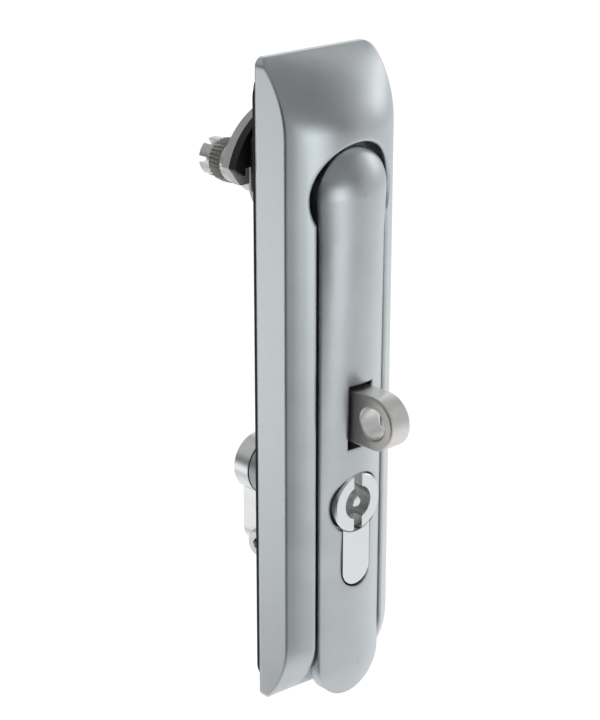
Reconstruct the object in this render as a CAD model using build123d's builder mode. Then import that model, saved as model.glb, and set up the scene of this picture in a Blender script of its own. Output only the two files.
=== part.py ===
from build123d import *
from math import pi, sin, sqrt
import os

# Compact swing handle lock for a cabinet door: escutcheon, swing handle, padlock lug,
# half cylinder with a double-bit insert, latch slide and rear drive.
# Frame: millimetres, +X to the right, +Y into the door, +Z up. The origin is the centre of the
# door face, the plane against which the gasket seals. A "level" is a distance in front of that
# plane, so a level of 12 is Y = -12, and Plane.XZ.offset(level) is the plane there.

os.makedirs("parts", exist_ok=True)

# ---- escutcheon (housing) ----
housing_length = 181.3
housing_width = 38.8
seal_thickness = 1.0        # the gasket, between the door and the housing's back
side_depth = 11.0           # flat side wall, back plane to crisp edge
crown_radius = 28.7         # arc across the front
end_radius = 26.2           # arc in which the side wall's edge runs down to each end
end_thickness = 1.6         # edge left at the top and bottom ends
corner_radius = 2.5
floor_level = 9.0           # bottom of the handle's slot
floor_thickness = 3.9
slot_lip_round = 0.7
cavity_width = 30.0         # of the latch slide's cavity in the back
cavity_top_z = -15.6
cavity_bottom_z = -83.2
hollow_width = 26.0         # of the two hollows behind the grip
hollow_top_z = 37.0
hollow_bottom_z = 9.0
rib = 2.0
gasket_length = 172.6
gasket_corner = 6.0
gasket_tab_gap = 0.8        # its opening beside the slide's tab

# ---- handle ----
handle_width = 23.0         # below the head
handle_gap = 0.7            # to each wall of the slot
handle_back_level = 13.0
handle_edge_level = 16.8    # round grip at the head
handle_crown_level = 22.1
tail_width = 22.7           # flatter and narrower stretch from the cylinder down
tail_edge_level = 16.5
tail_crown_level = 19.6
head_flare = 0.65           # the head widens this much each side above flare_z
flare_z = 44.0
tail_z = -45.0              # the handle is even below this height and swells above it
handle_end_z = -78.4        # centre of the round lower end
handle_skin = 2.0           # least left over the hollow in the grip's back
handle_hollow_width = 15.0
handle_hollow_top_z = 42.0
handle_hollow_bottom_z = 10.0

# ---- drive ----
drive_z = 55.3              # spindle axis, and height of the hinge pin
pocket_radius = 13.8
pocket_level = 3.5          # floor of the round pocket
rotor_flange_thickness = 2.0
pin_level = 10.5
pin_radius = 2.0
ear_radius = 4.5
ear_thickness = 4.6
tongue_width = 8.0
running_gap = 0.05          # radial clearance of a turning fit
side_gap = 0.3              # between pieces that slide past each other
fixed_gap = 0.02            # between pieces fixed together by a thread, a square or a press
spindle_radius = 6.0
bush_wall = 2.0
bush_flange_radius = 10.0
bush_flange_thickness = 0.8
neck_radius = 10.6
neck_reach = 4.4            # behind the door face
square = 7.0                # spindle square, across flats
stop_ring_thickness = 2.6
cam_radius = 21.6
cam_edge = 5.5              # straight lower edge of ring and cam, above the axis
ring_hub_radius = 9.6
ring_tooth = 2.0            # the ring's two stop teeth: depth, slanted flank and flat tip
ring_tooth_slant = 3.0
ring_tooth_flat = 0.5
cam_thickness = 2.8
cam_hub_radius = 11.6
cam_tooth = 5.2             # the cam's two driving teeth
cam_tooth_slant = 4.0
cam_tooth_flat = 3.2
collar_length = 10.2        # thick stretch of the sleeve, then its cone
collar_radius = 6.8
cone_length = 2.0
sleeve_radius = 5.7
sleeve_length = 18.5
wheel_thickness = 4.6
wheel_radius = 6.15
wheel_teeth = 40
tooth_depth = 0.6
nut_thickness = 4.2
nut_radius = 5.4
nut_slot = 1.8
nut_slot_depth = 3.0
stud_radius = 3.0           # threaded end of the spindle

# ---- padlock lug ----
lug_z = -4.3
lug_eye_level = 28.0
lug_outer_radius = 7.4
lug_hole_radius = 4.3
lug_thickness = 7.0
lug_side_gap = 0.8
lug_gap_above = 1.2
lug_gap_below = 2.1
lug_draft = 1.2             # the slot's lower wall slopes back to clear the lifting handle
lug_foot_thickness = 2.0
lug_foot_width = 17.4

# ---- half cylinder, Euro profile ----
cylinder_z = -30.4
cylinder_level = 19.2
cylinder_length = 40.5
profile_radius = 8.5
profile_width = 10.0
profile_height = 33.0       # top of the round to the bottom of the web
cylinder_gap = 0.35         # beside the cylinder, in the handle's opening
swing_gap = 0.3             # more below it, where the lifting handle swings past
cam_slot_start = 5.6        # behind the door face
cam_slot_width = 10.0
bridge_height = 9.2
plug_face_level = 19.8
plug_head_radius = 8.35
plug_head_thickness = 3.3
plug_radius = 6.5
keyway_radius = 4.7
keyway_depth = 5.0
keyway_slot = 3.0
key_pin_radius = 1.5
tail_radius = 3.0
tail_end_depth = 2.4        # how far the tail runs into the rear block
tongue_tip_radius = 13.2
cam_tongue_width = 8.0
cam_ring_radius = 8.3
unlocked_angle = 22.5       # cam tongue above the horizontal while the latch is drawn back

# ---- latch ----
slide_thickness = 2.0
slide_travel = 9.2
slide_edge_x = 14.6
slide_strip = 5.2
tab_x = 10.6
tab_window = 9.8
tab_rim = 3.5
finger_height = 3.2
finger_reach = 2.6          # of the finger past the middle
cover_thickness = 1.5
countersink = 1.2
ear_half = 5.0
keeper_width = 8.0
keeper_bottom_z = -73.0
keeper_top_z = -63.5
keeper_stem = 3.0
keeper_foot = 1.2
keeper_plate = 1.5
keeper_plate_top_z = -57.2
keeper_plate_bottom_z = -79.4
keeper_screw_top_z = -60.4
keeper_screw_bottom_z = -76.2
keeper_thread = 4.0
keeper_gap = 0.6

# ---- screws ----
m3_radius = 1.5
m3_head_radius = 2.7
m3_head_height = 1.5
m5_radius = 2.5
m5_head_radius = 4.25
m5_head_height = 2.8
m5_socket = 3.0
lug_screw_x = 6.2
cover_screw_x = 11.6
cover_screw_top_z = -19.4
cover_screw_bottom_z = -79.4
boss_radius = 3.1

# ---- rubber buffer under the grip ----
buffer_z = 7.0
buffer_radius = 2.4
buffer_stem_radius = 1.4
buffer_stem = 3.0

# ---- clamps behind the door ----
door_sheet = 2.0            # door between gasket and clamps
door_play = 0.2
clamp_thickness = 2.0
clamp_width = 30.6
clamp_leg_width = 32.8      # across the two legs beside the drive
clamp_leg = 5.0
clamp_leg_z = 53.4
clamp_leg_top_z = 70.0
clamp_screw_gap = 0.45      # between the cam and the head of the upper clamp's screw
clamp_screw_edge = 4.4      # clamp above its screw's axis
clamp_thread = 6.0
clamp_corner = 5.0
lower_clamp_z = -79.6
lower_clamp_width = 20.0
lower_clamp_height = 9.4

# ---- values that follow ----
back_level = seal_thickness
half_width = housing_width / 2
half_length = housing_length / 2
slot_half = handle_width / 2 + handle_gap
clamp_screw_z = drive_z + cam_radius + clamp_screw_gap + m5_head_radius
clamp_top_z = clamp_screw_z + clamp_screw_edge
end_start = half_length - sqrt(end_radius**2 - (end_radius - side_depth + end_thickness) ** 2)
crown_rise = crown_radius - sqrt(crown_radius**2 - half_width**2)
cavity_level = floor_level - floor_thickness
cover_level = back_level + cover_thickness
rotor_top_level = pocket_level + rotor_flange_thickness
bush_radius = spindle_radius + running_gap + bush_wall
stop_ring_start = neck_reach + bush_flange_thickness
cam_start = stop_ring_start + stop_ring_thickness
sleeve_start = cam_start + cam_thickness
wheel_start = sleeve_start + sleeve_length
nut_start = wheel_start + wheel_thickness
nut_end = nut_start + nut_thickness
profile_bottom_z = cylinder_z + profile_radius - profile_height
profile_arc_z = profile_bottom_z + profile_width / 2
cylinder_rear = cylinder_length - cylinder_level
cam_slot_end = cam_slot_start + cam_slot_width
cylinder_screw_y = (cam_slot_start + cam_slot_end) / 2
cylinder_screw_z = profile_bottom_z + bridge_height / 2
plug_seat_level = plug_face_level - plug_head_thickness
keyway_level = plug_face_level - keyway_depth
slide_level = cover_level + side_gap
tab_z = cylinder_z + slide_travel / 2
tab_reach = cam_slot_end + 1.0
finger_top_z = profile_bottom_z - 1.9
ear_x = profile_width / 2 + side_gap
plate_level = handle_back_level - keeper_plate
foot_level = back_level + side_gap
clamp_front = door_sheet + door_play
clamp_back = clamp_front + clamp_thickness
clamp_leg_x = clamp_leg_width / 2 - clamp_leg


def edge_depth(z):
    """Depth of the side wall's crisp edge at a height: constant, then an arc down to the end."""
    past = max(0.0, abs(z) - end_start)
    return side_depth - end_radius + sqrt(end_radius**2 - past**2)


def rise(z):
    """Rise of the crown over the crisp edge: it flattens out towards each end."""
    share = max(0.0, abs(z) - end_start) / (half_length - end_start)
    return crown_rise * (1 - share**2) + 0.02


def bowed_section(z, half, back, edge, crown, whole=True):
    """Face across the lock at one height: flat back, straight sides and an arc for the front."""
    with BuildSketch(Plane.XY.offset(z)) as section:
        with BuildLine():
            Polyline((-half, -edge), (-half, -back), (half, -back), (half, -edge))
            ThreePointArc((half, -edge), (0, -crown), (-half, -edge))
        make_face()
        if not whole:
            with Locations((-half, -crown)):
                Rectangle(2 * half, 2 * crown, mode=Mode.SUBTRACT)
    return section.sketch


def housing_section(z):
    edge = back_level + edge_depth(z)
    return bowed_section(z, half_width, back_level, edge, edge + rise(z))


def handle_section(z, whole=True):
    """The handle at one height: it swells steadily from the flat tail to the round head."""
    share = min(1.0, max(0.0, (z - tail_z) / (drive_z - tail_z)))
    flare = head_flare * max(0.0, (z - flare_z) / (drive_z - flare_z))
    half = (tail_width + share * (handle_width - tail_width)) / 2 + flare
    edge = tail_edge_level + share * (handle_edge_level - tail_edge_level)
    crown = tail_crown_level + share * (handle_crown_level - tail_crown_level)
    return bowed_section(z, half, handle_back_level, edge, crown, whole)


def euro_profile(gap, drop=0.0):
    """Adds a Euro cylinder's outline, with a gap all round, to the current XZ sketch."""
    with Locations((0, cylinder_z), (0, cylinder_z - drop)):
        Circle(profile_radius + gap)
    with Locations((0, (cylinder_z + profile_arc_z - drop) / 2)):
        Rectangle(profile_width + 2 * gap, cylinder_z - profile_arc_z + drop)
    with Locations((0, profile_arc_z - drop)):
        Circle(profile_width / 2 + gap)


def cam_sector(tooth, slant, flat, hub_radius):
    """Adds a stop plate to the current XZ sketch: an upper segment, two teeth and a hub."""
    with Locations((0, drive_z)):
        Circle(cam_radius)
    with Locations((0, drive_z + cam_edge - cam_radius)):
        Rectangle(2 * cam_radius, 2 * cam_radius, mode=Mode.SUBTRACT)
    reach = sqrt(cam_radius**2 - cam_edge**2)
    for side in (1, -1):
        Polygon(
            (side * reach, drive_z + cam_edge),
            (side * (reach - slant), drive_z + cam_edge - tooth),
            (side * (reach - slant - flat), drive_z + cam_edge - tooth),
            (side * (reach - slant - flat), drive_z + cam_edge + 0.5),
            (side * (reach - 0.5), drive_z + cam_edge + 0.5),
            align=None,
        )
    with Locations((0, drive_z)):
        Circle(hub_radius)
        Rectangle(square + 2 * fixed_gap, square + 2 * fixed_gap, mode=Mode.SUBTRACT)


def screw(x, z, y, radius, length, head_radius, head_height):
    """Pan head screw from behind: its head's underside at y, its shank towards the front."""
    with BuildPart() as body:
        with BuildSketch(Plane.XZ.offset(-y)):
            with Locations((x, z)):
                Circle(head_radius)
        extrude(amount=-head_height)
        rim = body.edges().filter_by(GeomType.CIRCLE).sort_by(Axis.Y)[-1]
        chamfer(rim, head_height / 4)
        with BuildSketch(Plane.XZ.offset(-y - head_height)):
            with Locations((x, z)):
                RegularPolygon(head_radius / 2, 6)
        extrude(amount=head_height / 2, mode=Mode.SUBTRACT)
        with BuildSketch(Plane.XZ.offset(-y)):
            with Locations((x, z)):
                Circle(radius)
        extrude(amount=length)
    return body.part


def save(builder, name):
    builder.part.label = name
    export_step(builder.part, f"parts/{name}.step")


# ---- housing: die-cast escutcheon with the handle's slot and the drive pocket ----
END_STEPS = 6

with BuildPart() as housing:
    add(housing_section(-end_start))
    extrude(amount=2 * end_start)
    for side in (1, -1):
        for step in range(END_STEPS + 1):
            share = sin(step / END_STEPS * pi / 2)
            add(housing_section(side * (end_start + (half_length - end_start) * share)))
        loft()
    with BuildSketch(Plane.XZ):
        RectangleRounded(housing_width, housing_length, corner_radius)
    extrude(amount=housing_width, mode=Mode.INTERSECT)

    # slot for the handle, open at the lower end, and the round pocket of the drive
    with BuildSketch(Plane.XZ.offset(floor_level)):
        with Locations((0, drive_z - housing_length / 2)):
            Rectangle(2 * slot_half, housing_length)
    extrude(amount=housing_width, mode=Mode.SUBTRACT)
    with BuildSketch(Plane.XZ.offset(pocket_level)):
        with Locations((0, drive_z)):
            Circle(pocket_radius)
    extrude(amount=housing_width, mode=Mode.SUBTRACT)
    lip = housing.edges().filter_by(
        lambda e: -e.center().Y > back_level + side_depth + 1
        and abs(e.center().X) < slot_half + 3
        and abs(abs(e.center().Z) - end_start) > 1
    )
    fillet(lip, slot_lip_round)

    # cavities in the back: latch slide, foot of the padlock lug, hollows behind the grip
    with BuildSketch(Plane.XZ.offset(back_level)):
        with Locations((0, (cavity_top_z + cavity_bottom_z) / 2)):
            RectangleRounded(cavity_width, cavity_top_z - cavity_bottom_z, 2)
        with Locations((0, lug_z)):
            Rectangle(lug_foot_width + 2 * side_gap, 2 * (lug_outer_radius + side_gap))
        for side in (1, -1):
            with Locations((side * (hollow_width + rib) / 4, (hollow_top_z + hollow_bottom_z) / 2)):
                RectangleRounded((hollow_width - rib) / 2, hollow_top_z - hollow_bottom_z, 1.5)
    extrude(amount=cavity_level - back_level, mode=Mode.SUBTRACT)

    # neck round the drive, which reaches through the door, and its bore
    with BuildSketch(Plane.XZ.offset(back_level)):
        with Locations((0, drive_z)):
            Circle(neck_radius)
    extrude(amount=-(back_level + neck_reach))
    with BuildSketch(Plane.XZ.offset(-neck_reach)):
        with Locations((0, drive_z)):
            Circle(bush_radius + fixed_gap)
    extrude(amount=neck_reach + pocket_level, mode=Mode.SUBTRACT)

    # bosses for the cover's screws and the lower clamp's screw
    with BuildSketch(Plane.XZ.offset(cover_level)):
        with Locations(
            (-cover_screw_x, cover_screw_top_z),
            (-cover_screw_x, cover_screw_bottom_z),
            (cover_screw_x, cover_screw_bottom_z),
        ):
            Circle(boss_radius)
        with Locations((0, lower_clamp_z)):
            Circle(m5_radius + 1.8)
    extrude(amount=floor_level - cover_level - 1)

    # openings in the slot's floor: padlock lug, cylinder and keeper
    with BuildSketch(Plane.XZ.offset(back_level)):
        with Locations((0, lug_z)):
            Rectangle(lug_thickness + 2 * running_gap, 2 * (lug_outer_radius + running_gap))
        euro_profile(side_gap)
        with Locations((0, (keeper_top_z + keeper_bottom_z) / 2)):
            Rectangle(
                keeper_width + 2 * keeper_gap, keeper_top_z - keeper_bottom_z + 2 * keeper_gap
            )
    extrude(amount=floor_level - back_level, mode=Mode.SUBTRACT)

    # tapped holes for the screws
    with BuildSketch(Plane.XZ.offset(cover_level)):
        with Locations(
            (-cover_screw_x, cover_screw_top_z),
            (-cover_screw_x, cover_screw_bottom_z),
            (cover_screw_x, cover_screw_bottom_z),
            (-lug_screw_x, lug_z),
            (lug_screw_x, lug_z),
        ):
            Circle(m3_radius + fixed_gap)
        with Locations((0, lower_clamp_z)):
            Circle(m5_radius + fixed_gap)
    extrude(amount=floor_level - cover_level - 1, mode=Mode.SUBTRACT)
    with BuildSketch(Plane.XZ.offset(back_level)):
        with Locations((0, clamp_screw_z)):
            Circle(m5_radius + fixed_gap)
    extrude(amount=clamp_thread, mode=Mode.SUBTRACT)
    # socket of the handle's rubber buffer
    with BuildSketch(Plane.XZ.offset(floor_level)):
        with Locations((0, buffer_z)):
            Circle(buffer_stem_radius)
    extrude(amount=-buffer_stem, mode=Mode.SUBTRACT)
save(housing, "housing")

# ---- gasket: flat seal between housing and door ----
with BuildPart() as gasket:
    with BuildSketch(Plane.XZ):
        RectangleRounded(housing_width, gasket_length, gasket_corner)
        with Locations((0, drive_z)):
            Circle(neck_radius + side_gap, mode=Mode.SUBTRACT)
        with Locations((0, (cavity_top_z + cavity_bottom_z) / 2)):
            RectangleRounded(
                2 * (tab_x + slide_thickness + gasket_tab_gap),
                cavity_top_z - cavity_bottom_z,
                3,
                mode=Mode.SUBTRACT,
            )
        with Locations((0, clamp_screw_z)):
            Circle(m5_radius + side_gap, mode=Mode.SUBTRACT)
    extrude(amount=seal_thickness)
save(gasket, "gasket")

# ---- handle: grip, round lower end, domed head with two hinge ears ----
with BuildPart() as handle:
    add(handle_section(handle_end_z))
    extrude(amount=tail_z - handle_end_z)
    add(handle_section(tail_z))
    add(handle_section(flare_z))
    add(handle_section(drive_z))
    loft(ruled=True)
    for centre, way in ((drive_z, -1), (handle_end_z, 1)):
        add(handle_section(centre, whole=False))
        revolve(axis=Axis((0, 0, centre), (0, way, 0)), revolution_arc=180)

    # hinge ears on the back of the head, with room for the rotor's tongue between them
    with BuildSketch(Plane.YZ):
        with Locations((-pin_level, drive_z)):
            Circle(ear_radius)
        with Locations((-(pin_level + handle_back_level + 1) / 2, drive_z)):
            Rectangle(handle_back_level + 1 - pin_level, 2 * ear_radius)
    extrude(amount=tongue_width / 2 + side_gap + ear_thickness, both=True)
    with BuildSketch(Plane.YZ):
        with Locations((-pin_level, drive_z)):
            Circle(tongue_width / 2 + 2 * side_gap)
        with Locations((-pin_level / 2, drive_z)):
            Rectangle(pin_level, 4 * ear_radius)
    extrude(amount=tongue_width / 2 + side_gap, both=True, mode=Mode.SUBTRACT)
    with BuildSketch(Plane.YZ):
        with Locations((-pin_level, drive_z)):
            Circle(pin_radius)
    extrude(amount=handle_width, both=True, mode=Mode.SUBTRACT)

    # hollow in the grip's back
    with BuildSketch(Plane.XZ.offset(handle_back_level)):
        with Locations((0, (handle_hollow_top_z + handle_hollow_bottom_z) / 2)):
            RectangleRounded(
                handle_hollow_width, handle_hollow_top_z - handle_hollow_bottom_z, 2.5
            )
    extrude(amount=tail_crown_level - handle_skin - handle_back_level, mode=Mode.SUBTRACT)

    # slot for the padlock lug, its lower wall drafted towards the back
    with BuildSketch(Plane.YZ):
        top = lug_z + lug_outer_radius + lug_gap_above
        bottom = lug_z - lug_outer_radius - lug_gap_below
        front = handle_crown_level + 2
        with BuildLine():
            Polyline(
                (-handle_back_level + 1, top),
                (-front, top),
                (-front, bottom),
                (-handle_crown_level, bottom),
                (-handle_back_level + 1, bottom - lug_draft),
                close=True,
            )
        make_face()
    extrude(amount=lug_thickness / 2 + lug_side_gap, both=True, mode=Mode.SUBTRACT)

    # opening for the cylinder, and tapped holes of the keeper
    with BuildSketch(Plane.XZ.offset(handle_back_level - 1)):
        euro_profile(cylinder_gap, swing_gap)
    extrude(amount=handle_width, mode=Mode.SUBTRACT)
    with BuildSketch(Plane.XZ.offset(handle_back_level)):
        with Locations((0, keeper_screw_top_z), (0, keeper_screw_bottom_z)):
            Circle(m3_radius + fixed_gap)
    extrude(amount=keeper_thread, mode=Mode.SUBTRACT)
save(handle, "handle")

# ---- hinge pin through the ears and the rotor's tongue ----
with BuildPart() as hinge_pin:
    with BuildSketch(Plane.YZ):
        with Locations((-pin_level, drive_z)):
            Circle(pin_radius)
    extrude(amount=tongue_width / 2 + side_gap + ear_thickness, both=True)
    chamfer(hinge_pin.edges().filter_by(GeomType.CIRCLE), 0.4)
save(hinge_pin, "hinge_pin")

# ---- keeper on the handle's back: plate, stem and a foot that opens upwards ----
with BuildPart() as keeper:
    with BuildSketch(Plane.XZ.offset(plate_level)):
        with Locations((0, (keeper_plate_top_z + keeper_plate_bottom_z) / 2)):
            RectangleRounded(keeper_width, keeper_plate_top_z - keeper_plate_bottom_z, 1.5)
        with Locations((0, keeper_screw_top_z), (0, keeper_screw_bottom_z)):
            Circle(m3_radius + side_gap, mode=Mode.SUBTRACT)
    extrude(amount=keeper_plate)
    with BuildSketch(Plane.YZ):
        with BuildLine():
            Polyline(
                (-plate_level, keeper_bottom_z),
                (-foot_level, keeper_bottom_z),
                (-foot_level, keeper_top_z),
                (-foot_level - keeper_foot, keeper_top_z),
                (-foot_level - keeper_foot, keeper_bottom_z + keeper_stem),
                (-plate_level, keeper_bottom_z + keeper_stem),
                close=True,
            )
        make_face()
    extrude(amount=keeper_width / 2, both=True)
save(keeper, "keeper")

keeper_shank = keeper_plate + keeper_thread - side_gap
keeper_screw_pair = [
    screw(0, z, -plate_level, m3_radius, keeper_shank, m3_head_radius, m3_head_height)
    for z in (keeper_screw_top_z, keeper_screw_bottom_z)
]
with BuildPart() as keeper_screws:
    add(keeper_screw_pair)
save(keeper_screws, "keeper_screws")

# ---- rotor: flange in the pocket, tongue for the hinge pin, spindle with square and stud ----
with BuildPart() as rotor:
    with BuildSketch(Plane.XZ.offset(pocket_level)):
        with Locations((0, drive_z)):
            Circle(pocket_radius - side_gap)
    extrude(amount=rotor_flange_thickness)
    with BuildSketch(Plane.YZ):
        with Locations((-pin_level, drive_z)):
            Circle(tongue_width / 2)
        with Locations((-(rotor_top_level + pin_level) / 2, drive_z)):
            Rectangle(pin_level - rotor_top_level, tongue_width)
    extrude(amount=tongue_width / 2, both=True)
    with BuildSketch(Plane.YZ):
        with Locations((-pin_level, drive_z)):
            Circle(pin_radius + running_gap)
    extrude(amount=tongue_width, both=True, mode=Mode.SUBTRACT)
    with BuildSketch(Plane.XZ.offset(pocket_level)):
        with Locations((0, drive_z)):
            Circle(spindle_radius)
    extrude(amount=-(pocket_level + stop_ring_start))
    with BuildSketch(Plane.XZ.offset(-stop_ring_start)):
        with Locations((0, drive_z)):
            Rectangle(square, square)
    extrude(amount=-(nut_start - stop_ring_start))
    with BuildSketch(Plane.XZ.offset(-nut_start)):
        with Locations((0, drive_z)):
            Circle(stud_radius)
    extrude(amount=-(nut_thickness - 0.6))
save(rotor, "rotor")

# ---- bearing bush: flanged sleeve in the neck ----
with BuildPart() as bearing_bush:
    with BuildSketch(Plane.XZ.offset(-neck_reach)):
        with Locations((0, drive_z)):
            Circle(bush_radius)
            Circle(spindle_radius + running_gap, mode=Mode.SUBTRACT)
    extrude(amount=neck_reach + pocket_level)
    with BuildSketch(Plane.XZ.offset(-neck_reach)):
        with Locations((0, drive_z)):
            Circle(bush_flange_radius)
            Circle(spindle_radius + running_gap, mode=Mode.SUBTRACT)
    extrude(amount=-bush_flange_thickness)
save(bearing_bush, "bearing_bush")

# ---- stop ring and cam plate: the same sector, one behind the other, on the square ----
with BuildPart() as stop_ring:
    with BuildSketch(Plane.XZ.offset(-stop_ring_start)):
        cam_sector(ring_tooth, ring_tooth_slant, ring_tooth_flat, ring_hub_radius)
    extrude(amount=-stop_ring_thickness)
save(stop_ring, "stop_ring")

with BuildPart() as cam_plate:
    with BuildSketch(Plane.XZ.offset(-cam_start)):
        cam_sector(cam_tooth, cam_tooth_slant, cam_tooth_flat, cam_hub_radius)
    extrude(amount=-cam_thickness)
save(cam_plate, "cam_plate")

# ---- drive sleeve: collar and cone on the square ----
with BuildPart() as drive_sleeve:
    collar_end = sleeve_start + collar_length
    with BuildSketch(Plane.YZ):
        with BuildLine():
            Polyline(
                (sleeve_start, drive_z),
                (sleeve_start, drive_z + collar_radius),
                (collar_end, drive_z + collar_radius),
                (collar_end + cone_length, drive_z + sleeve_radius),
                (wheel_start, drive_z + sleeve_radius),
                (wheel_start, drive_z),
                close=True,
            )
        make_face()
    revolve(axis=Axis((0, 0, drive_z), (0, 1, 0)))
    with BuildSketch(Plane.XZ.offset(-sleeve_start)):
        with Locations((0, drive_z)):
            Rectangle(square + 2 * fixed_gap, square + 2 * fixed_gap)
    extrude(amount=-sleeve_length, mode=Mode.SUBTRACT)
save(drive_sleeve, "drive_sleeve")

# ---- serrated wheel ----
with BuildPart() as serrated_wheel:
    with BuildSketch(Plane.XZ.offset(-wheel_start)):
        with Locations((0, drive_z)):
            Circle(wheel_radius)
            with PolarLocations(wheel_radius, wheel_teeth):
                pitch = 2 * pi * wheel_radius / wheel_teeth
                Polygon(
                    (-tooth_depth, 0), (0.3, 0.4 * pitch), (0.3, -0.4 * pitch),
                    align=None, mode=Mode.SUBTRACT,
                )
            Rectangle(square + 2 * fixed_gap, square + 2 * fixed_gap, mode=Mode.SUBTRACT)
    extrude(amount=-wheel_thickness)
save(serrated_wheel, "serrated_wheel")

# ---- castle nut on the stud ----
with BuildPart() as castle_nut:
    with BuildSketch(Plane.XZ.offset(-nut_start)):
        with Locations((0, drive_z)):
            Circle(nut_radius)
            Circle(stud_radius + fixed_gap, mode=Mode.SUBTRACT)
    extrude(amount=-nut_thickness)
    with BuildSketch(Plane.XZ.offset(-nut_end)):
        with Locations((0, drive_z)):
            for turn in (0, 60, 120):
                Rectangle(2.2 * nut_radius, nut_slot, rotation=turn)
    extrude(amount=nut_slot_depth, mode=Mode.SUBTRACT)
save(castle_nut, "castle_nut")

# ---- padlock lug: eye and shank through the floor, foot behind it ----
with BuildPart() as padlock_lug:
    with BuildSketch(Plane.YZ):
        with Locations((-lug_eye_level, lug_z)):
            Circle(lug_outer_radius)
        with Locations((-(cavity_level + lug_eye_level) / 2, lug_z)):
            Rectangle(lug_eye_level - cavity_level, 2 * lug_outer_radius)
        with Locations((-lug_eye_level, lug_z)):
            Circle(lug_hole_radius, mode=Mode.SUBTRACT)
    extrude(amount=lug_thickness / 2, both=True)
    rims = padlock_lug.edges().filter_by(
        lambda e: abs(abs(e.center().X) - lug_thickness / 2) < 0.01
        and -e.center().Y > cavity_level + 1
    )
    chamfer(rims, 0.4)
    with BuildSketch(Plane.XZ.offset(cavity_level)):
        with Locations((0, lug_z)):
            Rectangle(lug_foot_width, 2 * lug_outer_radius)
        with Locations((-lug_screw_x, lug_z), (lug_screw_x, lug_z)):
            Circle(m3_radius + side_gap, mode=Mode.SUBTRACT)
    extrude(amount=-lug_foot_thickness)
save(padlock_lug, "padlock_lug")

lug_head_y = lug_foot_thickness - cavity_level
lug_shank = lug_foot_thickness + floor_thickness - 1 - side_gap
lug_screw_pair = [
    screw(x, lug_z, lug_head_y, m3_radius, lug_shank, m3_head_radius, m3_head_height)
    for x in (-lug_screw_x, lug_screw_x)
]
with BuildPart() as lug_screws:
    add(lug_screw_pair)
save(lug_screws, "lug_screws")

# ---- half cylinder: body, plug with the double-bit keyway, key pin, cam ----
with BuildPart() as cylinder_body:
    with BuildSketch(Plane.XZ.offset(cylinder_level)):
        euro_profile(0)
    extrude(amount=-cylinder_length)
    with BuildSketch(Plane.XZ.offset(plug_seat_level)):
        with Locations((0, cylinder_z)):
            Circle(plug_head_radius + side_gap)
    extrude(amount=cylinder_length, mode=Mode.SUBTRACT)
    with BuildSketch(Plane.XZ.offset(plug_seat_level)):
        with Locations((0, cylinder_z)):
            Circle(plug_radius + running_gap)
    extrude(amount=-(plug_seat_level + cam_slot_start), mode=Mode.SUBTRACT)
    with BuildSketch(Plane.XZ.offset(-cam_slot_start)):
        with Locations((0, profile_bottom_z + bridge_height + profile_height)):
            Rectangle(3 * profile_radius, 2 * profile_height)
    extrude(amount=-cam_slot_width, mode=Mode.SUBTRACT)
    with BuildSketch(Plane.XZ.offset(-cam_slot_end)):
        with Locations((0, cylinder_z)):
            Circle(tail_radius + running_gap)
    extrude(amount=-tail_end_depth, mode=Mode.SUBTRACT)
    with BuildSketch(Plane.YZ):
        with Locations((cylinder_screw_y, cylinder_screw_z)):
            Circle(m5_radius + fixed_gap)
    extrude(amount=profile_width, both=True, mode=Mode.SUBTRACT)
save(cylinder_body, "cylinder_body")

with BuildPart() as cylinder_plug:
    with BuildSketch(Plane.XZ.offset(plug_seat_level)):
        with Locations((0, cylinder_z)):
            Circle(plug_head_radius)
    extrude(amount=plug_head_thickness)
    rim = cylinder_plug.edges().filter_by(GeomType.CIRCLE).sort_by(Axis.Y)[0]
    chamfer(rim, 0.5)
    with BuildSketch(Plane.XZ.offset(plug_seat_level)):
        with Locations((0, cylinder_z)):
            Circle(plug_radius)
    extrude(amount=-(plug_seat_level + cam_slot_start))
    with BuildSketch(Plane.XZ.offset(-cam_slot_start)):
        with Locations((0, cylinder_z)):
            Circle(tail_radius)
    extrude(amount=-(cam_slot_width + tail_end_depth - side_gap))
    with BuildSketch(Plane.XZ.offset(keyway_level)):
        with Locations((0, cylinder_z)):
            Circle(keyway_radius)
    extrude(amount=keyway_depth, mode=Mode.SUBTRACT)
    with BuildSketch(Plane.XZ.offset(plug_seat_level + 0.3)):
        with Locations((0, cylinder_z)):
            Rectangle(keyway_slot, 3 * plug_head_radius)
    extrude(amount=plug_head_thickness, mode=Mode.SUBTRACT)
save(cylinder_plug, "cylinder_plug")

with BuildPart() as key_pin:
    with BuildSketch(Plane.XZ.offset(keyway_level)):
        with Locations((0, cylinder_z)):
            Circle(key_pin_radius)
    extrude(amount=keyway_depth - 0.4)
    chamfer(key_pin.edges().filter_by(GeomType.CIRCLE).sort_by(Axis.Y)[0], 0.3)
save(key_pin, "key_pin")

with BuildPart() as cylinder_cam:
    with BuildSketch(Plane.XZ.offset(-cam_slot_start - side_gap)):
        with Locations((0, cylinder_z)):
            with PolarLocations(tongue_tip_radius / 2, 1, start_angle=unlocked_angle):
                Rectangle(tongue_tip_radius, cam_tongue_width)
            Circle(tongue_tip_radius, mode=Mode.INTERSECT)
            Circle(cam_ring_radius)
            Circle(tail_radius + fixed_gap, mode=Mode.SUBTRACT)
    extrude(amount=-(cam_slot_width - 2 * side_gap))
save(cylinder_cam, "cylinder_cam")

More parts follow.
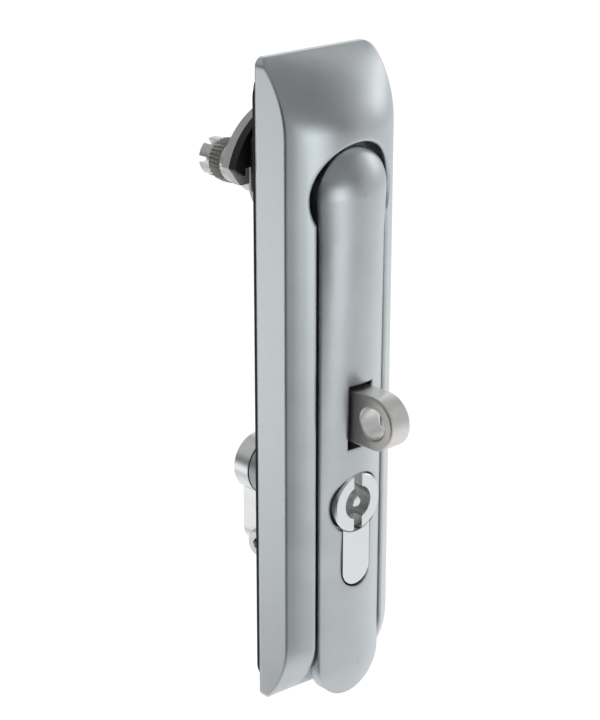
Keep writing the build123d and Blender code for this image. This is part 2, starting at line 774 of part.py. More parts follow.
# ---- screw that holds the cylinder: across the bridge, head on the cover's ear ----
with BuildPart() as cylinder_screw:
    with BuildSketch(Plane.YZ.offset(-ear_x - cover_thickness)):
        with Locations((cylinder_screw_y, cylinder_screw_z)):
            Circle(m5_head_radius)
    extrude(amount=-m5_head_height)
    chamfer(cylinder_screw.edges().filter_by(GeomType.CIRCLE).sort_by(Axis.X)[0], 0.7)
    with BuildSketch(Plane.YZ.offset(-ear_x - cover_thickness - m5_head_height)):
        with Locations((cylinder_screw_y, cylinder_screw_z)):
            RegularPolygon(m5_socket / 2, 6, major_radius=False)
    extrude(amount=m5_head_height / 2, mode=Mode.SUBTRACT)
    with BuildSketch(Plane.YZ.offset(-ear_x - cover_thickness)):
        with Locations((cylinder_screw_y, cylinder_screw_z)):
            Circle(m5_radius)
    extrude(amount=cover_thickness + side_gap + profile_width - 0.5)
save(cylinder_screw, "cylinder_screw")

# ---- latch slide: strip beside the cylinder, finger under it, tab with the cam's window ----
with BuildPart() as latch_slide:
    strip_left = slide_edge_x - slide_strip
    strip_top = tab_z + tab_window / 2 + tab_rim
    finger_bottom = finger_top_z - finger_height
    with BuildSketch(Plane.XZ.offset(slide_level)):
        with BuildLine():
            Polyline(
                (strip_left, strip_top),
                (slide_edge_x, strip_top),
                (slide_edge_x, finger_bottom),
                (-finger_reach, finger_bottom),
                (-finger_reach, finger_top_z),
                (strip_left, finger_top_z),
                close=True,
            )
        make_face()
    extrude(amount=slide_thickness)
    with BuildSketch(Plane.YZ.offset(tab_x)):
        with BuildLine():
            Polyline(
                (-slide_level - slide_thickness, strip_top),
                (tab_reach, strip_top),
                (tab_reach, tab_z - tab_window / 2 - tab_rim),
                (-slide_level - slide_thickness, tab_z - tab_window / 2 - tab_rim),
                close=True,
            )
        make_face()
        with Locations(((cam_slot_start + cam_slot_end) / 2 + 1.5, tab_z)):
            Rectangle(cam_slot_width + 3, tab_window, mode=Mode.SUBTRACT)
    extrude(amount=slide_thickness)
save(latch_slide, "latch_slide")

# ---- latch cover: closes the cavity, and its ear holds the cylinder's screw ----
cover_screw_places = (
    (-cover_screw_x, cover_screw_top_z),
    (-cover_screw_x, cover_screw_bottom_z),
    (cover_screw_x, cover_screw_bottom_z),
)

with BuildPart() as latch_cover:
    with BuildSketch(Plane.XZ.offset(back_level)):
        with Locations((0, (cavity_top_z + cavity_bottom_z) / 2)):
            RectangleRounded(
                cavity_width - 2 * side_gap, cavity_top_z - cavity_bottom_z - 2 * side_gap, 1.7
            )
    extrude(amount=cover_thickness)
    with BuildSketch(Plane.YZ.offset(-ear_x)):
        with Locations((cylinder_screw_y, cylinder_screw_z)):
            Circle(ear_half)
        with Locations(((cylinder_screw_y - cover_level) / 2, cylinder_screw_z)):
            Rectangle(cylinder_screw_y + cover_level, 2 * ear_half)
        with Locations((cylinder_screw_y, cylinder_screw_z)):
            Circle(m5_radius + side_gap, mode=Mode.SUBTRACT)
    extrude(amount=-cover_thickness)
    with BuildSketch(Plane.XZ.offset(back_level)):
        euro_profile(side_gap)
        with Locations((tab_x + slide_thickness / 2, tab_z - slide_travel / 2)):
            Rectangle(
                slide_thickness + 2 * side_gap,
                tab_window + 2 * tab_rim + slide_travel + 2 * side_gap,
            )
        with Locations((0, (keeper_top_z + keeper_bottom_z) / 2)):
            Rectangle(
                keeper_width + 2 * keeper_gap, keeper_top_z - keeper_bottom_z + 2 * keeper_gap
            )
        with Locations((0, lower_clamp_z)):
            Circle(m5_radius + side_gap)
        with Locations(*cover_screw_places):
            Circle(m3_radius + fixed_gap)
    extrude(amount=cover_thickness, mode=Mode.SUBTRACT)
    sinks = latch_cover.edges().filter_by(
        lambda e: e.geom_type == GeomType.CIRCLE
        and abs(e.radius - m3_radius - fixed_gap) < 0.01
        and abs(e.center().Y + back_level) < 0.01
    )
    chamfer(sinks, countersink)
save(latch_cover, "latch_cover")

with BuildPart() as cover_screws:
    with BuildSketch(Plane.XZ.offset(back_level)):
        with Locations(*cover_screw_places):
            Circle(m3_radius + countersink)
    extrude(amount=countersink, taper=45)
    with BuildSketch(Plane.XZ.offset(back_level)):
        with Locations(*cover_screw_places):
            Circle(m3_radius)
    extrude(amount=floor_level - back_level - 1 - side_gap)
    with BuildSketch(Plane.XZ.offset(back_level)):
        with Locations(*cover_screw_places):
            RegularPolygon(m3_radius * 0.8, 6)
    extrude(amount=countersink, mode=Mode.SUBTRACT)
save(cover_screws, "cover_screws")

# ---- clamps that hold the lock against the door, and their screws ----
with BuildPart() as upper_clamp:
    with BuildSketch(Plane.XZ.offset(-clamp_front)):
        with Locations((0, (drive_z + clamp_top_z) / 2)):
            RectangleRounded(clamp_width, clamp_top_z - drive_z, clamp_corner)
        with Locations((0, (clamp_leg_z + clamp_leg_top_z) / 2)):
            RectangleRounded(clamp_leg_width, clamp_leg_top_z - clamp_leg_z, clamp_corner / 2)
        with Locations((0, drive_z)):
            Circle(clamp_leg_x, mode=Mode.SUBTRACT)
        with Locations((0, drive_z - clamp_leg_x)):
            Rectangle(2 * clamp_leg_x, 2 * clamp_leg_x, mode=Mode.SUBTRACT)
        with Locations((0, clamp_screw_z)):
            Circle(m5_radius + side_gap, mode=Mode.SUBTRACT)
    extrude(amount=-clamp_thickness)
save(upper_clamp, "upper_clamp")

with BuildPart() as lower_clamp:
    with BuildSketch(Plane.XZ.offset(-clamp_front)):
        with Locations((0, lower_clamp_z)):
            RectangleRounded(lower_clamp_width, lower_clamp_height, 1.5)
            Circle(m5_radius + side_gap, mode=Mode.SUBTRACT)
    extrude(amount=-clamp_thickness)
save(lower_clamp, "lower_clamp")

upper_shank = clamp_back + back_level + clamp_thread - side_gap
lower_shank = clamp_back + floor_level - 1 - side_gap
clamp_screw_pair = [
    screw(0, z, clamp_back, m5_radius, shank, m5_head_radius, m5_head_height)
    for z, shank in ((clamp_screw_z, upper_shank), (lower_clamp_z, lower_shank))
]
with BuildPart() as clamp_screws:
    add(clamp_screw_pair)
save(clamp_screws, "clamp_screws")

# ---- rubber buffer the closed handle rests on ----
with BuildPart() as handle_buffer:
    with BuildSketch(Plane.XZ.offset(floor_level)):
        with Locations((0, buffer_z)):
            Circle(buffer_radius)
    extrude(amount=handle_back_level - floor_level - side_gap)
    chamfer(handle_buffer.edges().filter_by(GeomType.CIRCLE).sort_by(Axis.Y)[0], 0.6)
    with BuildSketch(Plane.XZ.offset(floor_level)):
        with Locations((0, buffer_z)):
            Circle(buffer_stem_radius)
    extrude(amount=-buffer_stem)
save(handle_buffer, "handle_buffer")
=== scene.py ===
from collections import namedtuple
from math import atan2, cos, degrees, pi, radians, sin

import bpy
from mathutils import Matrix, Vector


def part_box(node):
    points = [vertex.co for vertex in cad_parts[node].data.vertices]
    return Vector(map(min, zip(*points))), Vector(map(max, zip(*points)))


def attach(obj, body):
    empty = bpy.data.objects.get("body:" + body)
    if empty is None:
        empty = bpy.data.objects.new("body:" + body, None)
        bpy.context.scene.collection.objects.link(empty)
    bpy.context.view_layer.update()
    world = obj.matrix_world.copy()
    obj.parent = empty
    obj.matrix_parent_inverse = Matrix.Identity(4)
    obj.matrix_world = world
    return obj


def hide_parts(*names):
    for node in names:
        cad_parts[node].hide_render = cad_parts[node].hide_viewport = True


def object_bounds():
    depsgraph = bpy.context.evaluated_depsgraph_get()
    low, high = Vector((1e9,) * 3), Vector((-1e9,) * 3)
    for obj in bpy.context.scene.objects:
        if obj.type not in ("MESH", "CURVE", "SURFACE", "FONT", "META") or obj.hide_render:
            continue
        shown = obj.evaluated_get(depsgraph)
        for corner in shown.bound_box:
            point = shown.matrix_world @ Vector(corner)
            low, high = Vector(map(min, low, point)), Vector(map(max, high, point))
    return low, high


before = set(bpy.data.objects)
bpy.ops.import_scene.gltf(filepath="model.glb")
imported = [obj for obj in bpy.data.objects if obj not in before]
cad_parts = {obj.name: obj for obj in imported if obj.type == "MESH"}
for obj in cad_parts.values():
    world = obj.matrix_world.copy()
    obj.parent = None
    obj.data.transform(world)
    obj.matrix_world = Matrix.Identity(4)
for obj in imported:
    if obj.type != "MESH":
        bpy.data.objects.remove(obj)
CAD_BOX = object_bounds()

bl_info = {
    "name": "Swing handle lock",
    "version": (1, 0, 0),
    "blender": (4, 5, 0),
    "location": "View3D > Sidebar > Lock",
    "description": "Finishes and details of a compact swing handle lock with a half cylinder",
    "category": "Object",
}

MM = 0.001

# The serrated wheel: its V teeth are straight at first and then run on over a cone.
WHEEL_TEETH = 30
TOOTH_DEPTH = 0.85 * MM
STRAIGHT_SHARE = 0.5          # of the wheel's width
CONE_END = 0.95               # size of the cone's end against its start
WHEEL_RIM = 0.5 * MM          # left standing round the sunk end face
END_SUNK = 0.3 * MM

# The handle's round ends: how far their poles stand in front of the door, the lower one's radius.
HEAD_CROWN_Y = -22.1 * MM
TAIL_CROWN_Y = -19.6 * MM
TAIL_RADIUS = 11.35 * MM
POLE_FLAT = 0.7 * MM          # nearer to a pole than this, facets keep their own direction
POLE_ROUNDED = 1.0 * MM       # from here on the surface is rounded like the rest

CAST_ROUGHNESS = 0.3
PLUG_FACE = 0.3 * MM          # polished depth of the plug, in front of its unpolished recess
RECESS_BLUR = 0.4 * MM        # over which a surface turns unpolished

# Directions are in degrees: azimuth from the lock's front towards its left side, then height.
VIEW_MIDDLE = Vector((-3.92, -1.0, 6.58)) * MM
VIEW_AZIMUTH, VIEW_HEIGHT = 43.15, 20.15
LENS_MM, SENSOR_WIDTH_MM = 94.7, 36
CLIP_START = 0.01

KEY_AZIMUTH, KEY_HEIGHT = 150, 35
KEY_DISTANCE = 1.2
KEY_SIZE = 1.0

WHITE = (1.0, 1.0, 1.0, 1.0)
FLOOR_SIZE = 3.0
FLOOR_COLOR = (0.4, 0.4, 0.4, 1.0)
FLOOR_GLOW = 0.88

# The room is bright below and dim above, and each soft panel adds its level to that.
BRIGHT_BELOW = 0.86
DIM_ABOVE = 0.28
HORIZON, HORIZON_BLUR = -4.0, 40.0
DARKEST = 0.03                # the least that screens leave of the light
Panel = namedtuple("Panel", "azimuth half_width side_blur height half_height end_blur level")
PANELS = (
    Panel(14.2, 11.2, 19.5, -6.4, 13.5, 3.2, 1.4),     # upright strip in front
    Panel(-114, 37, 65, 22, 17, 16, 1.2),              # high on the right
    Panel(-122, 57, 28, -22, 11, 17, 0.26),            # low on the right
    Panel(84, 38, 74, -16, 28, 18, -1.1),              # dark screen on the left
    Panel(146, 16, 7, -17.5, 10, 2, 0.9),              # behind on the left
    Panel(-79, 12, 8, 15, 11, 8, 0.4),                 # small one on the right
    Panel(-23, 13.3, 6.5, 1, 21, 1, -0.135),           # dark gap beside the strip
)
STRIP_TINT = (0.95, 1.0, 1.0, 1.0)    # the upright strip is a little cooler than the rest


# ---------------------------------------------------------------- finishes

class Wire:
    """An output socket. Arithmetic on it adds Math nodes to its finish."""

    def __init__(self, finish, socket):
        self.finish = finish
        self.socket = socket

    def math(self, operation, first, second=0.0):
        return self.finish.node("ShaderNodeMath", {"operation": operation}, {0: first, 1: second})

    def __add__(self, other):
        return self.math("ADD", self, other)

    __radd__ = __add__

    def __sub__(self, other):
        return self.math("SUBTRACT", self, other)

    def __rsub__(self, other):
        return self.math("SUBTRACT", other, self)

    def __mul__(self, other):
        return self.math("MULTIPLY", self, other)

    __rmul__ = __mul__

    def __abs__(self):
        return self.math("ABSOLUTE", self)

    def steps(self, low, high):
        """0 below low, 1 above high, and smooth between them."""
        return self.finish.node(
            "ShaderNodeMapRange",
            {"interpolation_type": "SMOOTHSTEP"},
            {"Value": self, "From Min": low, "From Max": high},
        )

    def within(self, half, blur):
        """1 up to half, 0 beyond it, and smooth over blur to either side."""
        return 1 - self.steps(half - blur, half + blur)


class Nodes:
    """A node tree that is built by calls."""

    def __init__(self, tree):
        self.tree = tree
        self.tree.nodes.clear()

    def wire(self, wire, name):
        """Another output of the node that a wire comes from."""
        return Wire(self, wire.socket.node.outputs[name])

    def node(self, kind, settings=None, values=None, output=0):
        """Adds a node, sets it up, then gives its sockets their values or links."""
        made = self.tree.nodes.new(kind)
        for setting, value in (settings or {}).items():
            setattr(made, setting, value)
        for socket, value in (values or {}).items():
            if isinstance(value, Wire):
                self.tree.links.new(value.socket, made.inputs[socket])
            else:
                made.inputs[socket].default_value = value
        return Wire(self, made.outputs[output]) if made.outputs else made

    def blend(self, share, first, second):
        """The first colour where share is 0, the second where it is 1."""
        return self.node(
            "ShaderNodeMix",
            {"data_type": "RGBA"},
            {0: share, 6: first, 7: second},
            output=2,
        )


class Finish(Nodes):
    """A material made of nodes, with a Principled surface."""

    def __init__(self, name, roughness=0.4, metallic=0.0, **sockets):
        self.material = bpy.data.materials.new(name)
        self.material.use_nodes = True
        super().__init__(self.material.node_tree)
        self.output = self.tree.nodes.new("ShaderNodeOutputMaterial")
        self.surface = self.tree.nodes.new("ShaderNodeBsdfPrincipled")
        self.tree.links.new(self.surface.outputs[0], self.output.inputs["Surface"])
        self.surface.inputs["Roughness"].default_value = roughness
        self.surface.inputs["Metallic"].default_value = metallic
        for socket, value in sockets.items():
            self.surface.inputs[socket.replace("_", " ")].default_value = value
        self.place = self.node("ShaderNodeTexCoord", output="Object")

    def show(self, shader):
        """Puts another shader on the surface in place of the plain Principled one."""
        self.tree.links.new(shader.socket, self.output.inputs["Surface"])

    def feed(self, **wires):
        for socket, wire in wires.items():
            self.tree.links.new(wire.socket, self.surface.inputs[socket.replace("_", " ")])

    def grain(self, size, detail=2.0, stretch=(1, 1, 1)):
        """Noise whose blotches are about size metres across."""
        moved = self.node("ShaderNodeMapping", None, {"Vector": self.place, "Scale": stretch})
        return self.node(
            "ShaderNodeTexNoise", None, {"Vector": moved, "Scale": 1 / size, "Detail": detail}
        )

    def rounded(self, radius):
        """Normal of a surface whose edges are rounded off by radius metres."""
        return self.node("ShaderNodeBevel", {"samples": 6}, {"Radius": radius})

    def edges(self, rounded):
        """1 on edges, 0 on open faces."""
        flat = self.node("ShaderNodeNewGeometry", output="Normal")
        along = self.node(
            "ShaderNodeVectorMath", {"operation": "DOT_PRODUCT"}, {0: rounded, 1: flat}, output=1
        )
        return (1 - along).steps(0.01, 0.2)

    def bump(self, height, depth, normal=None):
        values = {"Height": height, "Distance": depth, "Strength": 1.0}
        if normal is not None:
            values["Normal"] = normal
        return self.node("ShaderNodeBump", None, values)


def tone(color, factor):
    return tuple(min(1.0, c * factor) for c in color[:3]) + (1.0,)


def cast_metal(name, color, roughness, edge, poles=()):
    """Satin zinc die-casting: fine soft grain, faint clouding, edges brightened by a painted
    highlight.

    At the poles, where facets meet in one point, the surface takes each facet's own direction.
    """
    f = Finish(name, roughness, metallic=1.0)
    rounded = f.rounded(edge)
    for pole in poles:
        flat = f.node("ShaderNodeNewGeometry", output="True Normal")
        far = f.node(
            "ShaderNodeVectorMath", {"operation": "DISTANCE"}, {0: f.place, 1: pole}, output=1
        ).steps(POLE_FLAT, POLE_ROUNDED)
        rounded = f.node(
            "ShaderNodeMix", {"data_type": "VECTOR"}, {0: far, 4: flat, 5: rounded}, output=1
        )
    # mask of the edges, where a highlight is painted into the colour
    painted_edge_highlight = f.edges(rounded)
    cloud = f.grain(14 * MM, 3)
    fine = f.grain(0.35 * MM, 2)
    body = f.blend(cloud.steps(0.3, 0.75), tone(color, 0.96), tone(color, 1.04))
    f.feed(
        # painted highlight: the base colour is brightened along the edges
        Base_Color=f.blend(painted_edge_highlight * 0.35, body, tone(color, 1.18)),
        Roughness=roughness + (cloud - 0.5) * 0.08 + (fine - 0.5) * 0.06,
        Normal=f.bump(fine, 0.004 * MM, rounded),
    )
    return f.material


def machined_metal(
    name, color, roughness, edge=0.2 * MM, stretch=(1, 1, 1), depth=0.003 * MM, contrast=0.1,
    metallic=1.0, recess=None, inner=(0.74, 0.75, 0.73),
):
    """Turned, drawn or plated metal: grain that is drawn out where stretch is below 1.

    Behind the level called recess it is rougher, as if left unpolished, and takes its inner
    colour; the darker default inner colour is painted shade.
    """
    f = Finish(name, roughness, metallic)
    rounded = f.rounded(edge)
    # mask of the edges, where a highlight is painted into the colour
    painted_edge_highlight = f.edges(rounded)
    lines = f.grain(0.5 * MM, 3, stretch)
    cloud = f.grain(6 * MM, 2)
    body = f.blend(
        lines.steps(0.3, 0.7), tone(color, 1 - contrast), tone(color, 1 + 0.6 * contrast)
    )
    rough = roughness + (lines - 0.5) * contrast + (cloud - 0.5) * 0.06
    # painted highlight: the base colour is brightened along the edges
    body = f.blend(painted_edge_highlight * 0.4, body, tone(color, 1.2))
    if recess is not None:
        parts = f.node("ShaderNodeSeparateXYZ", None, {0: f.place})
        deep = f.wire(parts, "Y").steps(recess, recess + RECESS_BLUR)
        # the recess takes the inner colour; the darker default is painted shade
        body = f.blend(deep, body, tone(inner, 1.0))
        rough = rough + deep * 0.1
    f.feed(
        Base_Color=body,
        Roughness=rough,
        Normal=f.bump(lines, depth, rounded),
    )
    return f.material


def dull_black(name, color, roughness, grain):
    """Black plastic, rubber or coated sheet: fine pebbled skin."""
    f = Finish(name, roughness, Specular_IOR_Level=0.35)
    rounded = f.rounded(0.25 * MM)
    pebble = f.grain(grain, 2)
    cloud = f.grain(9 * MM, 2)
    f.feed(
        Base_Color=f.blend(cloud.steps(0.3, 0.7), tone(color, 0.85), tone(color, 1.2)),
        Roughness=roughness + (pebble - 0.5) * 0.15,
        Normal=f.bump(pebble, 0.012 * MM, rounded),
    )
    return f.material


# ---------------------------------------------------------------- helpers

def finish_node(name, material):
    """Gives a CAD node its finish."""
    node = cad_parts[name]
    node.data.materials.clear()
    node.data.materials.append(material)


def aim(piece, azimuth, height, distance):
    """Puts a camera or lamp in that direction from the view's middle, looking back at it."""
    turn, tilt = radians(azimuth), radians(height)
    way = Vector((-sin(turn) * cos(tilt), -cos(turn) * cos(tilt), sin(tilt)))
    piece.location = VIEW_MIDDLE + way * distance
    piece.rotation_euler = way.to_track_quat("Z", "Y").to_euler()


# ---------------------------------------------------------------- settings

class LockFinishes(bpy.types.PropertyGroup):
    zinc: bpy.props.FloatVectorProperty(
        name="Zinc", description="Colour of the die-cast housing", subtype="COLOR",
        default=(0.59, 0.625, 0.645), min=0, max=1,
    )
    handle: bpy.props.FloatVectorProperty(
        name="Handle", description="Colour of the die-cast handle", subtype="COLOR",
        default=(0.59, 0.625, 0.645), min=0, max=1,
    )
    chrome: bpy.props.FloatVectorProperty(
        name="Cylinder", description="Colour of the plated cylinder", subtype="COLOR",
        default=(0.885, 0.905, 0.93), min=0, max=1,
    )
    nickel: bpy.props.FloatVectorProperty(
        name="Lug", description="Colour of the padlock lug", subtype="COLOR",
        default=(0.8, 0.79, 0.77), min=0, max=1,
    )
    black: bpy.props.FloatVectorProperty(
        name="Black parts", description="Colour of seal, bush and stop ring", subtype="COLOR",
        default=(0.02, 0.022, 0.025), min=0, max=1,
    )
    edge: bpy.props.FloatProperty(
        name="Edge rounding", description="Radius that softens the cast edges", unit="LENGTH",
        default=1.1 * MM, min=0,
    )


class LockStage(bpy.types.PropertyGroup):
    key: bpy.props.FloatProperty(
        name="Key light", description="Power of the large soft light", unit="POWER",
        default=0.5, min=0,
    )
    distance: bpy.props.FloatProperty(
        name="Camera distance", description="From the middle of the lock", unit="LENGTH",
        default=0.5099, min=0.1,
    )
    floor_drop: bpy.props.FloatProperty(
        name="Floor drop", description="Floor below the lock's lower end", unit="LENGTH",
        default=50 * MM, min=0,
    )


# ---------------------------------------------------------------- operators

class LOCK_OT_castings(bpy.types.Operator):
    """Finish the housing and the handle as satin zinc castings"""
    bl_idname = "lock.castings"
    bl_label = "Castings"

    def execute(self, context):
        looks = context.scene.lock_finishes
        housing = cast_metal("zinc_housing", looks.zinc, CAST_ROUGHNESS, looks.edge)
        finish_node("housing", housing)
        low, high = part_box("handle")
        radius = (high.x - low.x) / 2
        poles = (
            (0, HEAD_CROWN_Y, high.z - radius),
            (0, TAIL_CROWN_Y, low.z + TAIL_RADIUS),
        )
        handle = cast_metal("zinc_handle", looks.handle, CAST_ROUGHNESS, looks.edge, poles)
        finish_node("handle", handle)
        return {"FINISHED"}


class LOCK_OT_lug(bpy.types.Operator):
    """Finish the padlock lug as nickel plated steel"""
    bl_idname = "lock.lug"
    bl_label = "Padlock lug"

    def execute(self, context):
        looks = context.scene.lock_finishes
        nickel = machined_metal(
            "satin_nickel", looks.nickel, 0.36,
            edge=0.5 * MM, stretch=(1, 0.3, 0.3), depth=0.0015 * MM, contrast=0.05,
        )
        finish_node("padlock_lug", nickel)
        return {"FINISHED"}


class LOCK_OT_cylinder(bpy.types.Operator):
    """Finish the half cylinder, its plug, pin and cam"""
    bl_idname = "lock.cylinder"
    bl_label = "Half cylinder"

    def execute(self, context):
        looks = context.scene.lock_finishes
        finish_node("key_pin", self.plated("plated_brass", looks.chrome))
        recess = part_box("cylinder_plug")[0].y + PLUG_FACE
        # the plug's recess keeps the darker default inner colour, which is painted shade
        finish_node("cylinder_plug", self.plated("plated_plug", looks.chrome, recess=recess))
        body = self.plated("plated_body", looks.chrome, recess=0.0, inner=(0.9, 0.91, 0.92))
        finish_node("cylinder_body", body)
        steel = machined_metal(
            "cam_steel", (0.55, 0.57, 0.58), 0.42, depth=0.002 * MM, metallic=0.9
        )
        finish_node("cylinder_cam", steel)
        return {"FINISHED"}

    def plated(self, name, color, **recess):
        """Bright plating, drawn along the cylinder."""
        return machined_metal(
            name, color, 0.2,
            edge=0.25 * MM, stretch=(1, 0.05, 1), depth=0.0003 * MM, contrast=0.03, **recess,
        )


class LOCK_OT_drive(bpy.types.Operator):
    """Finish the drive behind the door: rotor, cam, sleeve, wheel and nut"""
    bl_idname = "lock.drive"
    bl_label = "Drive"

    def execute(self, context):
        turned = machined_metal(
            "turned_steel", (0.72, 0.72, 0.71), 0.32,
            stretch=(0.1, 1, 0.1), depth=0.002 * MM, contrast=0.06, metallic=0.85,
        )
        plate = machined_metal(
            "plated_sheet", (0.86, 0.86, 0.85), 0.42,
            stretch=(0.2, 1, 1), depth=0.002 * MM, contrast=0.06, metallic=0.15,
        )
        dark = machined_metal(
            "sintered_steel", (0.5, 0.495, 0.485), 0.42, edge=0.1 * MM, metallic=0.6
        )
        for name in ("rotor", "drive_sleeve", "castle_nut", "hinge_pin"):
            finish_node(name, turned)
        finish_node("cam_plate", plate)
        self.wheel(dark)
        return {"FINISHED"}

    def wheel(self, material):
        """Wheel whose V teeth run on over a cone towards the nut, with a sunk end face."""
        low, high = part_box("serrated_wheel")
        middle = (low + high) / 2
        outer = (high.x - low.x) / 2
        width = high.y - low.y
        straight = width * STRAIGHT_SHARE
        bpy.ops.object.select_all(action="DESELECT")
        bpy.ops.mesh.primitive_cylinder_add(
            vertices=2 * WHEEL_TEETH, radius=outer, depth=straight, rotation=(pi / 2, 0, 0),
            location=(0, low.y + straight / 2, middle.z),
        )
        wheel = bpy.context.object
        wheel.name = "toothed_wheel"
        bpy.ops.object.transform_apply(location=True, rotation=True, scale=True)
        self.cut_teeth(wheel.data, middle, outer)
        self.add_cone(wheel.data, middle, width - straight)
        wheel.data.materials.append(material)
        self.origin_home(wheel)
        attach(wheel, "housing")
        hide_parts("serrated_wheel")

    def cut_teeth(self, mesh, middle, outer):
        """Draws every second corner of the outline in to the depth of a tooth."""
        def in_valley(vertex):
            turn = atan2(vertex.co.x, vertex.co.z - middle.z) * WHEEL_TEETH / pi
            return round(turn) % 2 == 1

        self.pick(mesh, "VERT", in_valley)
        valley = 1 - TOOTH_DEPTH / outer
        bpy.ops.transform.resize(value=(valley, 1, valley), center_override=middle)

    def add_cone(self, mesh, middle, length):
        """Runs the teeth on over a cone from the rear face, and sinks the new end inside a rim."""
        self.pick(mesh, "FACE", lambda face: face.normal.y > 0.9)
        bpy.ops.mesh.extrude_region_move(TRANSFORM_OT_translate={"value": (0, length, 0)})
        bpy.ops.transform.resize(value=(CONE_END, 1, CONE_END), center_override=middle)
        bpy.ops.mesh.inset(thickness=WHEEL_RIM)
        bpy.ops.mesh.extrude_region_move(TRANSFORM_OT_translate={"value": (0, -END_SUNK, 0)})
        bpy.ops.mesh.select_all(action="SELECT")
        bpy.ops.mesh.normals_make_consistent(inside=False)
        bpy.ops.object.mode_set(mode="OBJECT")

    def pick(self, mesh, kind, wanted):
        """Selects the vertices or faces that fit and nothing else, and stays in edit mode."""
        bpy.ops.object.mode_set(mode="EDIT")
        bpy.ops.mesh.select_mode(type=kind)
        bpy.ops.mesh.select_all(action="DESELECT")
        bpy.ops.object.mode_set(mode="OBJECT")
        for element in mesh.vertices if kind == "VERT" else mesh.polygons:
            element.select = wanted(element)
        bpy.ops.object.mode_set(mode="EDIT")

    def origin_home(self, piece):
        """Puts the object's own origin at the shared one."""
        bpy.context.scene.cursor.location = (0, 0, 0)
        bpy.ops.object.origin_set(type="ORIGIN_CURSOR")


class LOCK_OT_latch(bpy.types.Operator):
    """Finish the latch slide, its cover and the keeper as zinc plated sheet"""
    bl_idname = "lock.latch"
    bl_label = "Latch"

    def execute(self, context):
        plated = machined_metal("zinc_plate", (0.74, 0.75, 0.77), 0.28, stretch=(1, 1, 0.08))
        for name in ("latch_slide", "latch_cover", "keeper"):
            finish_node(name, plated)
        return {"FINISHED"}


class LOCK_OT_fasteners(bpy.types.Operator):
    """Finish the screws"""
    bl_idname = "lock.fasteners"
    bl_label = "Screws"

    def execute(self, context):
        bright = machined_metal("screw_steel", (0.68, 0.69, 0.7), 0.25)
        for name in (
            "lug_screws", "keeper_screws", "cylinder_screw", "cover_screws", "clamp_screws",
        ):
            finish_node(name, bright)
        return {"FINISHED"}


class LOCK_OT_black_parts(bpy.types.Operator):
    """Finish the seal, the buffer, the bush, the stop ring and the clamps"""
    bl_idname = "lock.black_parts"
    bl_label = "Black parts"

    def execute(self, context):
        looks = context.scene.lock_finishes
        rubber = dull_black("seal_rubber", looks.black, 0.6, 0.4 * MM)
        plastic = dull_black("black_plastic", looks.black, 0.42, 0.3 * MM)
        coated = dull_black("coated_sheet", (0.05, 0.055, 0.06), 0.45, 0.5 * MM)
        for name in ("gasket", "handle_buffer"):
            finish_node(name, rubber)
        for name in ("bearing_bush", "stop_ring"):
            finish_node(name, plastic)
        for name in ("upper_clamp", "lower_clamp"):
            finish_node(name, coated)
        return {"FINISHED"}


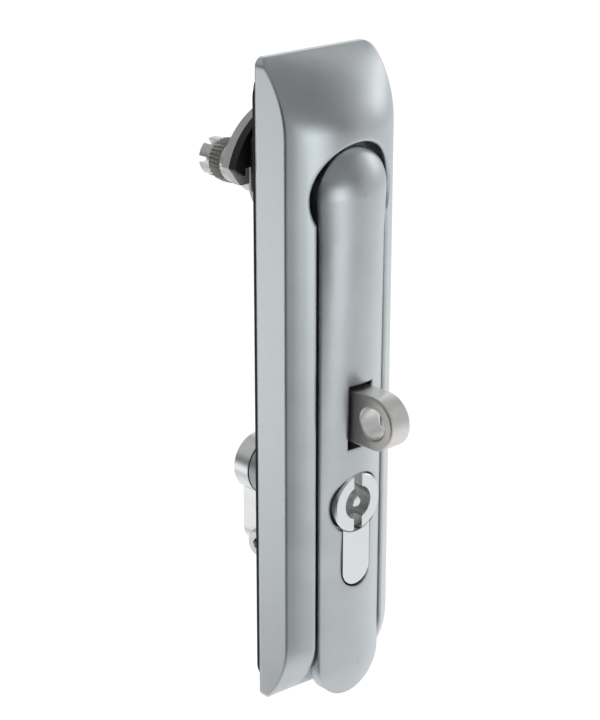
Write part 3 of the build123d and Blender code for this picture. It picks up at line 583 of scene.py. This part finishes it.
class LOCK_OT_stage(bpy.types.Operator):
    """Build floor, backdrop, lights and camera"""
    bl_idname = "lock.stage"
    bl_label = "Stage"

    def execute(self, context):
        settings = context.scene.lock_stage
        context.scene.view_settings.view_transform = "Standard"
        self.world(context)
        self.floor(CAD_BOX[0].z - settings.floor_drop)
        self.camera(context, settings.distance)
        self.key_lamp(context, settings.key)
        return {"FINISHED"}

    def world(self, context):
        """White behind the lock, and soft panels that only light and reflections meet."""
        world = bpy.data.worlds.new("studio")
        world.use_nodes = True
        room = Nodes(world.node_tree)
        way = room.node("ShaderNodeTexCoord", output="Generated")
        parts = room.node("ShaderNodeSeparateXYZ", None, {0: way})
        turn = room.node(
            "ShaderNodeMath", {"operation": "ARCTAN2"},
            {0: parts * -1, 1: room.wire(parts, "Y") * -1},
        ) * degrees(1)
        height = room.node(
            "ShaderNodeMath", {"operation": "ARCSINE"}, {0: room.wire(parts, "Z")}
        ) * degrees(1)
        up = height.steps(HORIZON - HORIZON_BLUR, HORIZON + HORIZON_BLUR)
        level = up * (DIM_ABOVE - BRIGHT_BELOW) + BRIGHT_BELOW
        shares = []
        for panel in PANELS:
            aside = room.node(
                "ShaderNodeMath", {"operation": "WRAP"},
                {0: turn - panel.azimuth, 1: 180.0, 2: -180.0},
            )
            across = abs(aside).within(panel.half_width, panel.side_blur)
            along = abs(height - panel.height).within(panel.half_height, panel.end_blur)
            share = across * along
            level = level + share * panel.level
            shares.append(share)
        level = room.node("ShaderNodeMath", {"operation": "MAXIMUM"}, {0: level, 1: DARKEST})
        color = room.blend(shares[0], WHITE, STRIP_TINT)
        panels = room.node("ShaderNodeBackground", None, {"Color": color, "Strength": level})
        white = room.node("ShaderNodeBackground", None, {"Color": WHITE, "Strength": 1.0})
        camera_ray = room.node("ShaderNodeLightPath", output="Is Camera Ray")
        mixed = room.node("ShaderNodeMixShader", None, {0: camera_ray, 1: panels, 2: white})
        room.node("ShaderNodeOutputWorld", None, {"Surface": mixed})
        context.scene.world = world

    def floor(self, height):
        """A white floor that shows the lock's shadow and stays out of its reflections."""
        bpy.ops.object.select_all(action="DESELECT")
        bpy.ops.mesh.primitive_plane_add(size=FLOOR_SIZE, location=(0, 0, height))
        floor = bpy.context.object
        floor.name = "floor"
        f = Finish(
            "floor_white", 0.9,
            Base_Color=FLOOR_COLOR, Emission_Color=WHITE, Emission_Strength=FLOOR_GLOW,
        )
        clear = f.node("ShaderNodeBsdfTransparent")
        camera_ray = f.node("ShaderNodeLightPath", output="Is Camera Ray")
        surface = Wire(f, f.surface.outputs[0])
        f.show(f.node("ShaderNodeMixShader", None, {0: camera_ray, 1: clear, 2: surface}))
        floor.data.materials.append(f.material)

    def camera(self, context, distance):
        data = bpy.data.cameras.new("camera")
        data.lens = LENS_MM
        data.sensor_width = SENSOR_WIDTH_MM
        data.clip_start = CLIP_START
        camera = bpy.data.objects.new("camera", data)
        context.scene.collection.objects.link(camera)
        aim(camera, VIEW_AZIMUTH, VIEW_HEIGHT, distance)
        context.scene.camera = camera

    def key_lamp(self, context, power):
        data = bpy.data.lights.new("key", "AREA")
        data.shape = "RECTANGLE"
        data.size = data.size_y = KEY_SIZE
        data.energy = power
        lamp = bpy.data.objects.new("key", data)
        context.scene.collection.objects.link(lamp)
        aim(lamp, KEY_AZIMUTH, KEY_HEIGHT, KEY_DISTANCE)


OPERATORS = (
    LOCK_OT_castings,
    LOCK_OT_lug,
    LOCK_OT_cylinder,
    LOCK_OT_drive,
    LOCK_OT_latch,
    LOCK_OT_fasteners,
    LOCK_OT_black_parts,
    LOCK_OT_stage,
)


class LOCK_PT_sidebar(bpy.types.Panel):
    """Lists the lock's pieces and settings"""
    bl_idname = "LOCK_PT_sidebar"
    bl_label = "Swing handle lock"
    bl_space_type = "VIEW_3D"
    bl_region_type = "UI"
    bl_category = "Lock"

    def draw(self, context):
        column = self.layout.column()
        for group in (context.scene.lock_finishes, context.scene.lock_stage):
            for name in group.__annotations__:
                column.prop(group, name)
        for operator in OPERATORS:
            column.operator(operator.bl_idname)


CLASSES = (LockFinishes, LockStage, *OPERATORS, LOCK_PT_sidebar)


def register():
    for item in CLASSES:
        bpy.utils.register_class(item)
    bpy.types.Scene.lock_finishes = bpy.props.PointerProperty(type=LockFinishes)
    bpy.types.Scene.lock_stage = bpy.props.PointerProperty(type=LockStage)


def unregister():
    del bpy.types.Scene.lock_stage
    del bpy.types.Scene.lock_finishes
    for item in reversed(CLASSES):
        bpy.utils.unregister_class(item)


def main():
    register()
    bpy.ops.lock.castings()
    bpy.ops.lock.lug()
    bpy.ops.lock.cylinder()
    bpy.ops.lock.drive()
    bpy.ops.lock.latch()
    bpy.ops.lock.fasteners()
    bpy.ops.lock.black_parts()
    bpy.ops.lock.stage()


if __name__ == "__main__":
    main()
